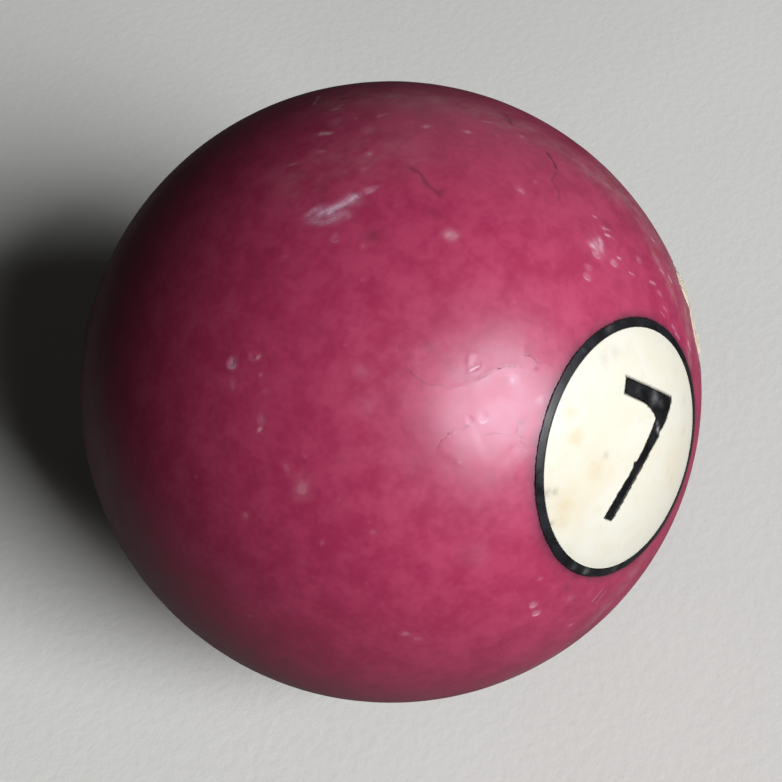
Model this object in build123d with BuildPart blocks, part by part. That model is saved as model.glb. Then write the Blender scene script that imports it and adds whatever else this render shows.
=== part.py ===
from build123d import *
import os
from math import cos, radians, sin, sqrt

# An old number 7 pool ball: a cream composition core inside a thin maroon skin,
# with two number discs opposite each other. Each disc is a white plug in a black
# ring, with a black 7 let into its face. The skin has flaked off at one place.
#
# Millimetres. The origin is the ball's centre and +Z is up. The front number
# faces -Y, tilted up, and its 7 has rolled over clockwise, as the ball lies.

# Driving dimensions
BALL_D = 57.15  # a 2 1/4 in ball
SKIN_T = 0.4  # the maroon layer over the core
DISC_D = 20.06  # the white disc, across its flat wall
RING_W = 0.78  # the black ring around the disc
PLUG_T = 4.5  # disc thickness under its crown
NUMERAL_T = 1.6  # how far the 7 reaches below the crown
NUMBER_TILT = 26.0  # degrees that the front number axis rises above the horizon
NUMBER_TURN = 53.0  # degrees that the 7 has rolled clockwise from upright

# The flake: a patch of skin missing low on the right of the front number
FLAKE_AZIMUTH = -47.0  # degrees around Z from +X
FLAKE_ELEVATION = 18.5  # degrees above the horizon
FLAKE_LEAN = 38.0  # degrees that its long side leans up from level
FLAKE_L = 9.6
FLAKE_W = 7.0

# The 7, in its own flat frame: +X to its right, +Y to its top, on the disc's centre
BAR_TOP = 5.31
BAR_LEFT = -3.85
BAR_RIGHT = 3.00
FOOT_Y = -5.86
FOOT_LEFT = -1.48
FOOT_RIGHT = -0.36

BALL_R = BALL_D / 2
CORE_R = BALL_R - SKIN_T
DISC_R = DISC_D / 2
RING_R = DISC_R + RING_W
PLUG_FLOOR = BALL_R - PLUG_T
NUMERAL_FLOOR = BALL_R - NUMERAL_T


def number_plane():
    """The front number's plane: +X to the right of its 7, +Y to its top, +Z outwards."""
    tilt, turn = radians(NUMBER_TILT), radians(NUMBER_TURN)
    outward = Vector(0, -cos(tilt), sin(tilt))
    upright = Vector(0, sin(tilt), cos(tilt))
    numeral_right = Vector(1, 0, 0) * cos(turn) - upright * sin(turn)
    return Plane(origin=(0, 0, 0), x_dir=numeral_right, z_dir=outward)


def height_at(radius, distance):
    """Height of a sphere's surface over its centre, this far from the axis."""
    return sqrt(radius**2 - distance**2)


def section_of(face):
    """The plane to draw half sections on: +X away from the number axis, +Y along it."""
    return Plane(origin=(0, 0, 0), x_dir=face.x_dir, z_dir=-face.y_dir)


def crown_arc(radius, outer, inner):
    """The sphere's arc over a disc or ring, from its outer wall in to its inner one."""
    middle = (outer + inner) / 2
    ThreePointArc(
        (outer, height_at(radius, outer)),
        (middle, height_at(radius, middle)),
        (inner, height_at(radius, inner)),
    )


def numeral_outline():
    """A block 7: a bar that swells at its right, and a stem that bows on its way down."""
    corner = (BAR_RIGHT + 0.05, BAR_TOP - 0.53)
    right_knee = (1.76, 1.50)
    foot_right = (FOOT_RIGHT, FOOT_Y)
    foot_left = (FOOT_LEFT, FOOT_Y)
    left_knee = (0.12, 0.10)
    crook = (0.98, 3.15)
    bar_bend = (-1.50, 3.96)
    bar_end = (BAR_LEFT + 0.10, 4.06)
    Polyline(bar_end, (BAR_LEFT, BAR_TOP), (BAR_RIGHT, BAR_TOP), corner)
    ThreePointArc(corner, (2.60, 3.40), right_knee)
    ThreePointArc(right_knee, (0.41, -2.05), foot_right)
    Line(foot_right, foot_left)
    ThreePointArc(foot_left, (-0.84, -2.75), left_knee)
    Line(left_knee, crook)
    ThreePointArc(crook, (-0.10, 3.72), bar_bend)
    Line(bar_bend, bar_end)


def flake_outline():
    """An irregular shell-shaped break: scallops that meet in cusps."""
    lower, upper = -FLAKE_W / 2, FLAKE_W / 2
    left, right = -FLAKE_L / 2, FLAKE_L / 2
    cusps = [
        (left, 0.10 * lower),
        (0.62 * left, 0.86 * lower),
        (0.10 * left, 0.92 * lower),
        (0.48 * right, 0.80 * lower),
        (right, 0.05 * upper),
        (0.62 * right, 0.90 * upper),
        (0.05 * right, 0.62 * upper),
        (0.48 * left, 0.86 * upper),
        (0.84 * left, 0.50 * upper),
    ]
    for start, end in zip(cusps, cusps[1:] + cusps[:1]):
        # each scallop bows outwards by a tenth of its own length
        across = (end[1] - start[1], start[0] - end[0])
        bow = (
            (start[0] + end[0]) / 2 + 0.10 * across[0],
            (start[1] + end[1]) / 2 + 0.10 * across[1],
        )
        ThreePointArc(start, bow, end)


def flake_plane():
    """Tangent to the ball over the flake, with +X along the flake's long side."""
    az, el, lean = radians(FLAKE_AZIMUTH), radians(FLAKE_ELEVATION), radians(FLAKE_LEAN)
    outward = Vector(cos(el) * cos(az), cos(el) * sin(az), sin(el))
    level = Vector(-sin(az), cos(az), 0)
    upward = outward.cross(level)
    along = level * cos(lean) + upward * sin(lean)
    return Plane(origin=outward * BALL_R, x_dir=along, z_dir=outward)


front = number_plane()
# the rear number is the front one with the ball turned half round about the 7's upright
rear = Plane(origin=(0, 0, 0), x_dir=-front.x_dir, z_dir=-front.z_dir)
number_axis = Axis((0, 0, 0), front.z_dir)
section = section_of(front)

# Core: a composition ball with a flat-bottomed pocket for each number disc
with BuildPart() as core_ball:
    with BuildSketch(section):
        with BuildLine():
            wall = height_at(CORE_R, RING_R)
            Polyline((0, -PLUG_FLOOR), (RING_R, -PLUG_FLOOR), (RING_R, -wall))
            ThreePointArc((RING_R, -wall), (CORE_R, 0), (RING_R, wall))
            Polyline((RING_R, wall), (RING_R, PLUG_FLOOR), (0, PLUG_FLOOR), (0, -PLUG_FLOOR))
        make_face()
    revolve(axis=number_axis)
core_ball.part.label = "core_ball"

# Skin: the maroon layer, open at both numbers and where it has flaked off
with BuildPart() as colour_skin:
    with BuildSketch(section):
        with BuildLine():
            outer_edge = height_at(BALL_R, RING_R)
            inner_edge = height_at(CORE_R, RING_R)
            ThreePointArc((RING_R, -outer_edge), (BALL_R, 0), (RING_R, outer_edge))
            Line((RING_R, outer_edge), (RING_R, inner_edge))
            ThreePointArc((RING_R, inner_edge), (CORE_R, 0), (RING_R, -inner_edge))
            Line((RING_R, -inner_edge), (RING_R, -outer_edge))
        make_face()
    revolve(axis=number_axis)
    with BuildSketch(flake_plane().offset(-4 * SKIN_T)):
        with BuildLine():
            flake_outline()
        make_face()
    extrude(amount=5 * SKIN_T, mode=Mode.SUBTRACT)
colour_skin.part.label = "colour_skin"

numbers = {}
for side, face in (("front", front), ("rear", rear)):
    side_axis = Axis((0, 0, 0), face.z_dir)

    # Disc: a white plug whose crown follows the ball, with a pocket for its 7
    with BuildPart() as number_disc:
        with BuildSketch(section_of(face)):
            with BuildLine():
                wall = height_at(BALL_R, DISC_R)
                Polyline((0, PLUG_FLOOR), (DISC_R, PLUG_FLOOR), (DISC_R, wall))
                crown_arc(BALL_R, DISC_R, 0)
                Line((0, BALL_R), (0, PLUG_FLOOR))
            make_face()
        revolve(axis=side_axis)
        with BuildSketch(face.offset(NUMERAL_FLOOR)):
            with BuildLine():
                numeral_outline()
            make_face()
        extrude(amount=2 * NUMERAL_T, mode=Mode.SUBTRACT)

    # Ring: a black sleeve between the disc and the maroon skin
    with BuildPart() as number_ring:
        with BuildSketch(section_of(face)):
            with BuildLine():
                inner_top = (DISC_R, height_at(BALL_R, DISC_R))
                outer_top = (RING_R, height_at(BALL_R, RING_R))
                Polyline(inner_top, (DISC_R, PLUG_FLOOR), (RING_R, PLUG_FLOOR), outer_top)
                crown_arc(BALL_R, RING_R, DISC_R)
            make_face()
        revolve(axis=side_axis)

    # Numeral: the black 7, flush with the disc's crown
    with BuildPart() as numeral:
        with BuildSketch(face.offset(NUMERAL_FLOOR)):
            with BuildLine():
                numeral_outline()
            make_face()
        extrude(amount=2 * NUMERAL_T)
        Sphere(BALL_R, mode=Mode.INTERSECT)

    numbers[f"number_disc_{side}"] = number_disc
    numbers[f"number_ring_{side}"] = number_ring
    numbers[f"numeral_{side}"] = numeral

for name, builder in numbers.items():
    builder.part.label = name

os.makedirs("parts", exist_ok=True)
export_step(core_ball.part, "parts/core_ball.step")
export_step(colour_skin.part, "parts/colour_skin.step")
for name, builder in numbers.items():
    export_step(builder.part, f"parts/{name}.step")
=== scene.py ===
import random
from math import acos, asin, atan2, ceil, cos, hypot, pi, radians, sin, sqrt

import bpy
import numpy as np
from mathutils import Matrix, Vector, geometry, kdtree


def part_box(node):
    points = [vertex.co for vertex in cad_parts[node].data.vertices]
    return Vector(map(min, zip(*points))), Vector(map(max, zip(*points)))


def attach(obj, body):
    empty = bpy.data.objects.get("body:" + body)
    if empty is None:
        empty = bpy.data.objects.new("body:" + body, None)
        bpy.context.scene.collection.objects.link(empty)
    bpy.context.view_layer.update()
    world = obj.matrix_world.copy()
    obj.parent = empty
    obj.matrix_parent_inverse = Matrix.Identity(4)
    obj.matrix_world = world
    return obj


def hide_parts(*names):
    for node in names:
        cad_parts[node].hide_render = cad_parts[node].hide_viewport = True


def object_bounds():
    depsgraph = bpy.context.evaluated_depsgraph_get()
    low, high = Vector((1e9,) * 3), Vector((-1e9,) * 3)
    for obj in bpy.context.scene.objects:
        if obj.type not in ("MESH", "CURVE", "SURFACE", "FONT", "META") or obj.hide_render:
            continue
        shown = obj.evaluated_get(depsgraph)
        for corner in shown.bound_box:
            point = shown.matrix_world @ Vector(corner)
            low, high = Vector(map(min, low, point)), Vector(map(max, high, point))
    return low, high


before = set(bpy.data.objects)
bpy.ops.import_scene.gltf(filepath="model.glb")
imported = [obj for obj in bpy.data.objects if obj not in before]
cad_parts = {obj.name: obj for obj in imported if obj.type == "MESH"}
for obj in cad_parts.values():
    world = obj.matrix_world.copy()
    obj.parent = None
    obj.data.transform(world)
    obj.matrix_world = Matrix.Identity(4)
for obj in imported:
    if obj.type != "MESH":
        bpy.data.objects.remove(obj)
cad_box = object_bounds()

# An old number 7 pool ball: a maroon skin over a cream core, with two number discs.
# Shapes are worked out in millimetres and become metres when a mesh is made.
MM = 0.001


def half_width(node, axis=0):
    """Half of a CAD node's extent along one axis, in millimetres."""
    low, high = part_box(node)
    return (high[axis] - low[axis]) / 2 / MM


# Sizes from the frame
BALL_R = min(half_width("colour_skin", axis) for axis in range(3))
DISC_R = half_width("number_disc_front")
RING_R = half_width("number_ring_front")
SKIN_T = BALL_R - half_width("core_ball")

# The same driving values as the CAD model's, in millimetres, radians and degrees
PLUG_T = 4.5
NUMERAL_T = 1.6
NUMBER_TILT = radians(26)
NUMBER_TURN = radians(53)
FLAKE_PLACE = (-47.0, 18.5)
FLAKE_LEAN = radians(38)
FLAKE_L = 9.6
FLAKE_W = 7.0
BAR_TOP = 5.31
BAR_LEFT = -3.85
BAR_RIGHT = 3.00
FOOT_Y = -5.86
FOOT_LEFT = -1.48
FOOT_RIGHT = -0.36

# The unworn surface lies just inside the ball's size, so that raised rims stay within it
PROUD = 0.026
FACE_R = BALL_R - PROUD
CORE_R = FACE_R - SKIN_T - 0.01
PLUG_FLOOR = BALL_R - PLUG_T
NUMERAL_FLOOR = BALL_R - NUMERAL_T

# Point spacings, from the finest marks to the plain surface
SPACINGS = (0.075, 0.15, 0.3, 0.6)
RING_STEPS = 640
DISC_SPACING = 0.24
NUMERAL_SPACING = 0.16
INNER_SPACING = 2.2  # the skin's plain inner side

# Nothing farther than this from the flake's middle is tested against its edge
FLAKE_REACH = 8.5


# ---------------------------------------------------------------- directions


def bearing(azimuth, elevation):
    """Unit vector towards a place on the ball, in degrees as on a globe."""
    turn, rise = radians(azimuth), radians(elevation)
    return np.array([cos(rise) * cos(turn), cos(rise) * sin(turn), sin(rise)])


def local_frame(centre, lean=0.0):
    """Two directions along the surface: level, and up from it, both turned by lean."""
    level = np.cross((0, 0, 1), centre)
    level /= np.linalg.norm(level)
    upward = np.cross(centre, level)
    return level * cos(lean) + upward * sin(lean), upward * cos(lean) - level * sin(lean)


def number_frame(side):
    """Right, up and outward directions of a number disc."""
    outward = np.array([0, -cos(NUMBER_TILT), sin(NUMBER_TILT)])
    upright = np.array([0, sin(NUMBER_TILT), cos(NUMBER_TILT)])
    right = np.array([1, 0, 0]) * cos(NUMBER_TURN) - upright * sin(NUMBER_TURN)
    up = np.cross(outward, right)
    return (right, up, outward) if side == "front" else (-right, up, -outward)


RIGHT, UP, OUT = number_frame("front")


def normalised(vectors):
    return vectors / np.linalg.norm(vectors, axis=1, keepdims=True)


def around(dirs, centre, reach, lean=0.0):
    """The directions within reach of a place, and where they are from it in millimetres."""
    near = np.nonzero(dirs @ centre > cos(reach / BALL_R))[0]
    along, across = local_frame(centre, lean)
    return near, BALL_R * (dirs[near] @ along), BALL_R * (dirs[near] @ across)


def path_frame(path):
    """A path's middle direction, and its points in the flat frame there."""
    points = np.array([bearing(*place) for place in path])
    centre = points.mean(axis=0)
    centre /= np.linalg.norm(centre)
    level, upward = local_frame(centre)
    return centre, BALL_R * np.stack([points @ level, points @ upward], axis=1)


def beside(dirs, path, reach):
    """The directions near a path: which, how far to its left, how far along, and its length."""
    centre, flat = path_frame(path)
    half = np.linalg.norm(flat, axis=1).max()
    near, x, y = around(dirs, centre, half + reach)
    nearest = np.full(len(near), 1e9)
    left = np.zeros(len(near))
    along = np.zeros(len(near))
    done = 0.0
    for start, end in zip(flat, flat[1:]):
        run = end - start
        length = np.linalg.norm(run)
        run = run / length
        travel = (x - start[0]) * run[0] + (y - start[1]) * run[1]
        held = np.clip(travel, 0, length)
        gap_x = x - start[0] - held * run[0]
        gap_y = y - start[1] - held * run[1]
        gap = np.hypot(gap_x, gap_y)
        closer = gap < nearest
        side = np.sign(run[0] * gap_y - run[1] * gap_x)
        left = np.where(closer, side * gap, left)
        along = np.where(closer, done + held, along)
        nearest = np.where(closer, gap, nearest)
        done += length
    return near, left, along, done


def ripple(dirs, period, seed, waves=14):
    """A smooth random field over the ball, mostly from -1 to 1, with that period in mm."""
    draw = np.random.default_rng(seed)
    axes = normalised(draw.normal(size=(waves, 3)))
    turns = 2 * pi * BALL_R / period * draw.uniform(0.6, 1.5, waves)
    phases = draw.uniform(0, 2 * pi, waves)
    return np.sin(dirs @ axes.T * turns + phases).sum(axis=1) / sqrt(waves)


def smooth(value):
    """0 below 0, 1 above 1, and a smooth step between."""
    held = np.clip(value, 0, 1)
    return held * held * (3 - 2 * held)


def bell(value, width):
    """1 at 0, and falling away smoothly on both sides."""
    return np.exp(-((value / width) ** 2))


def faded_ends(along, length, margin, fade):
    """1 along a path, and fading out over its two ends."""
    return smooth((along + margin) / fade) * smooth((length + margin - along) / fade)


# ---------------------------------------------------------------- marks

# Places are (azimuth, elevation) in degrees, as on a globe. Sizes are millimetres.
# Round dents: place, radius, depth, paleness of a crescent on one side, that
# side in degrees counted from level towards up, and paleness of the floor. The crescent is
# partly resin rubbed pale and partly a painted highlight on that side. In the dents
# of the highlight, the pale crescents and floors are painted glints.
DENTS = [
    # the dents of the highlight: their pale crescents and floors are painted glints
    (-124.0, 46.5, 0.42, 0.013, 0.40, -100, 0.08),
    (-121.0, 46.5, 0.52, 0.016, 0.50, -95, 0.22),
    (-119.2, 54.6, 0.60, 0.018, 0.00, -105, 0.08),
    (-111.5, 50.0, 0.62, 0.015, 0.00, -105, 0.34),
    (177.5, 49.5, 0.50, 0.045, 0.60, -20, 0.45),
    (-178.5, 52.0, 0.34, 0.012, 0.10, -60, 0.10),
    (-170.0, 44.0, 0.46, 0.012, 0.05, -70, 0.16),
    (-175.0, 74.5, 0.50, 0.020, 0.15, -57, 0.10),
    (-65.0, 53.7, 0.44, 0.036, 0.70, -175, 0.25),
    (-63.5, 50.0, 0.40, 0.030, 0.60, -170, 0.35),
    (-71.0, 54.5, 0.40, 0.018, 0.15, -160, 0.16),
    (-74.0, 54.0, 0.42, 0.026, 0.60, -170, 0.16),
    (-56.0, 44.0, 0.42, 0.010, 0.10, -170, 0.22),
    (-117.5, 10.5, 0.44, 0.030, 0.45, -100, 0.30),
    (-117.0, 8.0, 0.42, 0.030, 0.70, -90, 0.30),
    (-116.0, 16.0, 0.28, 0.010, 0.25, -90, 0.10),
    (72.0, 73.5, 0.85, 0.018, 0.00, 0, 0.14),
]

# Pale rubs along a path, and two painted glints: places, width, depth, paleness
RUBS_AND_GLINTS = [
    # the long scuff near the top: haze, its branches, and the bright line along it
    ([(164.0, 74.2), (167.0, 76.6), (171.0, 79.6), (175.0, 82.5)], 0.90, 0.018, 0.46),
    ([(166.5, 77.2), (170.5, 80.0), (174.5, 82.8)], 0.42, 0.010, 0.42),
    ([(168.5, 76.8), (172.0, 79.4), (176.0, 82.7)], 0.24, 0.006, 1.00),
    ([(164.5, 75.6), (168.0, 78.2), (171.5, 80.6)], 0.26, 0.005, 0.62),
    ([(169.5, 74.5), (176.5, 77.0), (-176.5, 79.5)], 0.55, 0.010, 0.36),
    ([(162.0, 74.0), (159.5, 75.5), (160.0, 76.8)], 0.46, 0.008, 0.38),
    ([(163.5, 73.8), (169.5, 75.4)], 0.50, 0.010, 0.34),
    ([(177.5, 83.5), (-169.5, 86.0)], 0.40, 0.008, 0.26),
    ([(-179.0, 83.4), (-170.0, 85.0)], 0.16, 0.012, 0.35),
    # painted glints: bright specular spots painted pale in two dents of the highlight
    ([(-111.7, 50.1), (-111.2, 49.9)], 0.17, 0.006, 1.00),
    ([(-121.2, 53.6), (-118.2, 53.9)], 0.09, 0.010, 1.00),
    # the cluster of scuffs at the upper right of the front number
    ([(-63.0, 55.5), (-63.5, 54.0)], 0.28, 0.018, 0.90),
    ([(-58.5, 53.5), (-61.5, 53.2), (-63.0, 52.5)], 0.36, 0.020, 0.74),
    ([(-62.5, 54.5), (-60.5, 53.0)], 0.46, 0.010, 0.46),
    ([(-54.0, 53.0), (-54.0, 52.0)], 0.22, 0.010, 0.50),
    ([(-53.5, 52.0), (-53.5, 51.0)], 0.12, 0.010, 0.35),
    ([(-56.0, 52.5), (-55.5, 51.0)], 0.16, 0.012, 0.62),
    ([(-51.5, 55.0), (-51.5, 54.0)], 0.10, 0.010, 0.45),
    ([(-61.0, 49.5), (-60.5, 48.5)], 0.16, 0.010, 0.52),
    ([(-62.5, 46.5), (-62.0, 45.0)], 0.10, 0.010, 0.50),
    ([(-59.5, 41.0), (-58.5, 39.0)], 0.18, 0.010, 0.54),
    ([(-59.5, 38.5), (-60.0, 37.0)], 0.20, 0.010, 0.40),
    ([(-43.5, 38.0), (-44.0, 36.5)], 0.20, 0.014, 0.60),
    ([(-51.0, 34.0), (-52.0, 32.5)], 0.24, 0.014, 0.75),
    ([(-52.5, 37.5), (-52.0, 35.5)], 0.12, 0.012, 0.45),
    ([(-64.0, 37.0), (-64.0, 35.5)], 0.10, 0.010, 0.45),
    ([(-62.0, 36.5), (-62.0, 35.0)], 0.10, 0.010, 0.35),
    ([(-63.5, 33.0), (-63.5, 31.5)], 0.14, 0.010, 0.45),
    ([(-64.0, 31.5), (-64.0, 29.5)], 0.18, 0.014, 0.60),
    ([(-61.0, 26.0), (-61.5, 23.5)], 0.34, 0.010, 0.50),
    # below the front number
    ([(-105.5, 2.0), (-103.0, 4.0)], 0.10, 0.008, 0.40),
    ([(-104.5, 0.5), (-102.0, 2.5)], 0.07, 0.006, 0.25),
    ([(-110.0, -1.5), (-108.5, -2.0)], 0.16, 0.006, 0.25),
]

# Soft pinkish flecks, as short paths: places, width, depth, paleness
FLECKS = [
    # smaller scuffs round the top
    ([(87.5, 74.0), (80.5, 76.0)], 0.40, 0.016, 1.00),
    ([(66.5, 68.5), (63.5, 69.5)], 0.26, 0.012, 0.75),
    ([(63.0, 68.5), (60.0, 68.0)], 0.18, 0.008, 0.39),
    ([(62.0, 74.5), (58.5, 74.5)], 0.26, 0.010, 0.39),
    ([(87.0, 85.0), (75.5, 85.0)], 0.28, 0.012, 0.70),
    ([(47.5, 75.5), (40.0, 74.5)], 0.22, 0.008, 0.34),
    ([(129.5, 85.0), (124.0, 86.5)], 0.32, 0.006, 0.18),
    ([(103.5, 76.5), (101.0, 78.5)], 0.29, 0.006, 0.28),
    ([(116.5, 73.0), (115.0, 74.5)], 0.18, 0.008, 0.39),
    ([(-159.0, 74.5), (-156.5, 74.5)], 0.26, 0.010, 0.39),
    ([(-109.0, 75.0), (-100.5, 73.5)], 0.34, 0.008, 0.30),
    ([(13.5, 77.5), (9.5, 76.5)], 0.28, 0.012, 0.75),
    ([(-7.5, 73.0), (-11.0, 72.5)], 0.30, 0.012, 0.70),
    ([(-17.5, 63.0), (-19.0, 62.5)], 0.34, 0.012, 0.72),
    ([(-53.0, 69.5), (-55.5, 68.0)], 0.32, 0.010, 0.45),
    ([(-4.5, 67.5), (-9.0, 64.5)], 0.18, 0.006, 0.34),
    # left of the highlight
    ([(179.5, 47.5), (-179.0, 46.0)], 0.32, 0.006, 0.22),
    ([(-177.0, 52.0), (-176.5, 53.0)], 0.18, 0.012, 0.78),
    ([(-174.5, 50.0), (-174.0, 50.5)], 0.18, 0.008, 0.39),
    ([(-170.0, 42.0), (-169.5, 43.0)], 0.18, 0.012, 0.73),
    ([(-172.5, 48.0), (-171.0, 48.5)], 0.29, 0.004, 0.15),
    ([(-162.5, 39.0), (-162.0, 37.5)], 0.32, 0.006, 0.22),
    ([(-168.5, 28.0), (-167.5, 28.5)], 0.29, 0.008, 0.39),
    ([(-154.0, 27.5), (-153.0, 27.5)], 0.32, 0.004, 0.25),
    ([(-145.5, 30.5), (-144.0, 30.0)], 0.32, 0.004, 0.18),
    ([(-140.0, 10.0), (-138.5, 9.5)], 0.32, 0.008, 0.39),
    ([(-138.0, 8.5), (-136.5, 8.0)], 0.32, 0.006, 0.28),
]

# Dark gouges along a path: places, width, depth, darkness
GOUGES = [
    ([(-25.5, 59.5), (-30.0, 60.0), (-36.0, 60.0)], 0.24, 0.050, 0.75),
    ([(-36.0, 60.0), (-41.5, 62.5), (-46.0, 61.5), (-52.5, 62.0)], 0.22, 0.018, 0.30),
    ([(-0.5, 57.5), (-10.0, 61.5), (-12.5, 62.0)], 0.26, 0.020, 0.40),
    ([(-31.0, 87.0), (-63.0, 85.5), (-79.5, 83.5), (-88.0, 80.0)], 0.32, 0.012, 0.48),
    ([(-23.0, 79.0), (-23.5, 78.5)], 0.20, 0.016, 0.45),
    ([(-15.0, 83.0), (-17.0, 82.5)], 0.20, 0.010, 0.35),
    ([(60.5, 64.5), (55.5, 65.0)], 0.34, 0.020, 0.50),
]

# Hairline cracks in the resin. The surface tilts away from each: by how much on the left
# and on the right of the path (rising when positive), and the path
CRACKS = [
    (-0.050, -0.030, [(-138.0, 56.5), (-135.5, 54.5), (-132.5, 53.0), (-127.0, 52.0), (-121.5, 51.5)]),
    (-0.060, -0.030, [(-121.5, 51.5), (-119.0, 52.0), (-116.5, 52.5), (-112.0, 52.5), (-107.5, 51.0)]),
    (-0.040, -0.015, [(-106.5, 53.0), (-104.5, 52.0), (-103.0, 50.5), (-101.0, 49.5), (-100.0, 48.5)]),
    (-0.012, 0.050, [(-133.0, 43.0), (-131.5, 44.0), (-129.5, 45.0), (-127.5, 45.5), (-123.0, 46.0)]),
    (-0.012, 0.045, [(-122.0, 43.5), (-120.0, 43.5), (-118.0, 43.0), (-116.0, 42.0), (-115.0, 41.0)]),
    (0.010, 0.040, [(-115.0, 41.0), (-114.0, 39.5), (-112.5, 38.0)]),
    (0.010, 0.020, [(-114.0, 43.5), (-114.5, 41.8), (-113.8, 40.4)]),
    (-0.010, 0.020, [(-119.5, 6.0), (-122.5, 5.0), (-123.5, 2.0), (-123.0, -0.5)]),
]
CRACK_W = 0.055
CRACK_DEPTH = 0.006

# Soft stains: place, radius, strength
GRIME_SPOTS = [
    (-153.5, 76.5, 0.62, 0.46),
    (146.0, 79.0, 0.42, 0.35),
    (94.0, 81.0, 0.40, 0.25),
    (-80.0, 81.0, 0.30, 0.40),
    (-103.5, 79.0, 0.55, 0.25),
    (-130.5, 58.5, 0.45, 0.30),
    (-6.5, 60.0, 1.00, 0.25),
    (-111.0, 11.0, 0.45, 0.35),
    (-164.5, 60.0, 0.90, 0.12),
    (-151.5, 41.5, 0.40, 0.22),
    (-113.0, 43.5, 0.28, 0.50),
    (-114.0, 42.2, 0.20, 0.35),
    (-51.5, 52.0, 0.50, 0.30),
    (-61.2, 53.6, 0.14, 0.60),
    (-137.0, 41.5, 0.60, 0.16),
]
PALE_BLOTCHES = [
    (-149.5, 55.0, 0.55, 0.16),
    (-147.0, 50.0, 0.80, 0.10),
    (-158.5, 35.5, 0.46, 0.42),
    (-158.5, 36.5, 0.80, 0.10),
    (-127.0, 24.5, 1.10, 0.10),
    (58.0, 79.0, 0.55, 0.22),
    (-62.8, 53.8, 0.75, 0.34),
    (-104.5, 74.3, 0.55, 0.50),
    (-110.5, 7.5, 0.50, 0.16),
]

# Dull grey-brown film, handled into the surface: places, width, strength
FILMS = [
    ([(128.0, 75.5), (90.0, 84.0), (18.0, 85.5)], 3.2, 0.24),
    ([(60.0, 66.0), (20.0, 66.0), (-10.0, 60.0), (-30.0, 50.0), (-42.0, 38.0)], 3.0, 0.40),
    ([(-27.0, 40.5), (-39.5, 33.0), (-47.5, 29.5), (-52.0, 24.5)], 3.0, 0.62),
    ([(-52.0, 26.5), (-62.5, 24.5), (-71.5, 20.5)], 1.0, 0.60),
    ([(-93.5, 1.0), (-102.5, -5.5), (-109.0, -15.0), (-121.0, -18.0)], 1.3, 0.55),
    ([(-49.5, 38.5), (-54.5, 34.0), (-56.5, 30.5)], 0.7, 0.60),
    ([(-30.0, 52.0), (-37.5, 39.0)], 1.6, 0.45),
]


def scattered_marks():
    """Small dings and scratches all over, but few and faint where the marks above lie."""
    draw = random.Random(7)
    covered = bearing(-135, 48)
    dents, rubs = [], []
    for _ in range(330):
        azimuth = draw.uniform(-180, 180)
        elevation = np.degrees(asin(draw.uniform(-1, 1)))
        chance = draw.random()
        small = float(bearing(azimuth, elevation) @ covered) > 0.35
        if small and chance < 0.6:
            continue
        radius = draw.uniform(0.08, 0.20) if small else draw.uniform(0.12, 0.46)
        depth = radius * draw.uniform(0.02, 0.05) if small else radius * draw.uniform(0.03, 0.09)
        paleness = draw.uniform(0.0, 0.16) if small else draw.uniform(0.05, 0.70)
        floor = paleness * draw.uniform(0.1, 0.8)
        dents.append((azimuth, elevation, radius, depth, paleness, draw.uniform(0, 360), floor))
        if not small and draw.random() < 0.34:
            reach = draw.uniform(0.8, 4.0) / BALL_R
            heading = draw.uniform(0, 2 * pi)
            level, upward = local_frame(bearing(azimuth, elevation))
            tip = bearing(azimuth, elevation) + reach * (level * cos(heading) + upward * sin(heading))
            tip /= np.linalg.norm(tip)
            end = (np.degrees(atan2(tip[1], tip[0])), np.degrees(asin(tip[2])))
            width = draw.uniform(0.07, 0.26)
            rubs.append(([(azimuth, elevation), end], width, 0.012, draw.uniform(0.10, 0.60)))
    return dents, rubs


scattered_dents, scattered_rubs = scattered_marks()


# ---------------------------------------------------------------- the surface: wear and painted glints


STAINS = ("chalk_and_glint", "fleck", "grime", "film", "crack", "bleed")


class Wear:
    """Height in millimetres and stain strengths from 0 to 1, in each direction. The stains hold painted
    glints as well as wear.
    """

    def __init__(self, dirs):
        self.dirs = dirs
        self.height = np.zeros(len(dirs))
        self.stains = {name: np.zeros(len(dirs)) for name in STAINS}

    def stain(self, name, near, amount):
        held = self.stains[name]
        held[near] = 1 - (1 - held[near]) * (1 - np.clip(amount, 0, 1))


def press_dent(wear, azimuth, elevation, radius, depth, paleness, palest, floor):
    """A shallow, slightly oval bowl, with a pale crescent on one side and a paler floor.
    The pale colour is partly rubbed resin and partly a painted highlight; in the dents of the highlight
    it is a painted glint.
    """
    near, x, y = around(wear.dirs, bearing(azimuth, elevation), 1.9 * radius)
    turn = np.arctan2(y, x)
    oval = 1 + 0.10 * np.sin(2 * turn + 9 * radius) + 0.06 * np.sin(3 * turn + 5 * radius)
    reach = np.hypot(x, y) / (radius * oval)
    bowl = np.clip(1 - reach**2, 0, 1) ** 2
    rim = bell(reach - 1.12, 0.28)
    wear.height[near] += 0.20 * depth * rim - depth * bowl
    # pale crescent and floor: partly rubbed resin, partly a painted highlight on the palest side
    facing = (0.5 + 0.5 * np.cos(turn - radians(palest))) ** 3
    crescent = paleness * facing * bell(reach - 0.80, 0.18)
    wear.stain("chalk_and_glint", near, crescent + floor * bell(reach, 0.72))


def rub_and_glint_path(wear, stain, path, width, depth, paleness):
    """A shallow scuff, faintly streaked along its run and fading at both ends. Also draws the two
    painted glints.
    """
    near, left, along, length = beside(wear.dirs, path, 2.2 * width)
    left = left + 0.12 * width * np.sin(3.1 * along + 9 * width)
    spread = width * (0.80 + 0.20 * np.sin(2.3 * along + 5 * width))
    inside = np.exp(-((left / spread) ** 2) * 1.4)
    ends = faded_ends(along, length, 0.4 * width, 1.4 * width)
    lines = np.sin(2 * pi * left / 0.26 + 1.1 * np.sin(1.9 * along) + 7 * width)
    patches = ripple(wear.dirs[near], 1.1, 5)
    wear.height[near] -= depth * inside * ends * (0.85 + 0.15 * lines)
    wear.stain(stain, near, paleness * inside * ends * (0.82 + 0.18 * lines + 0.20 * patches))


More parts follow.
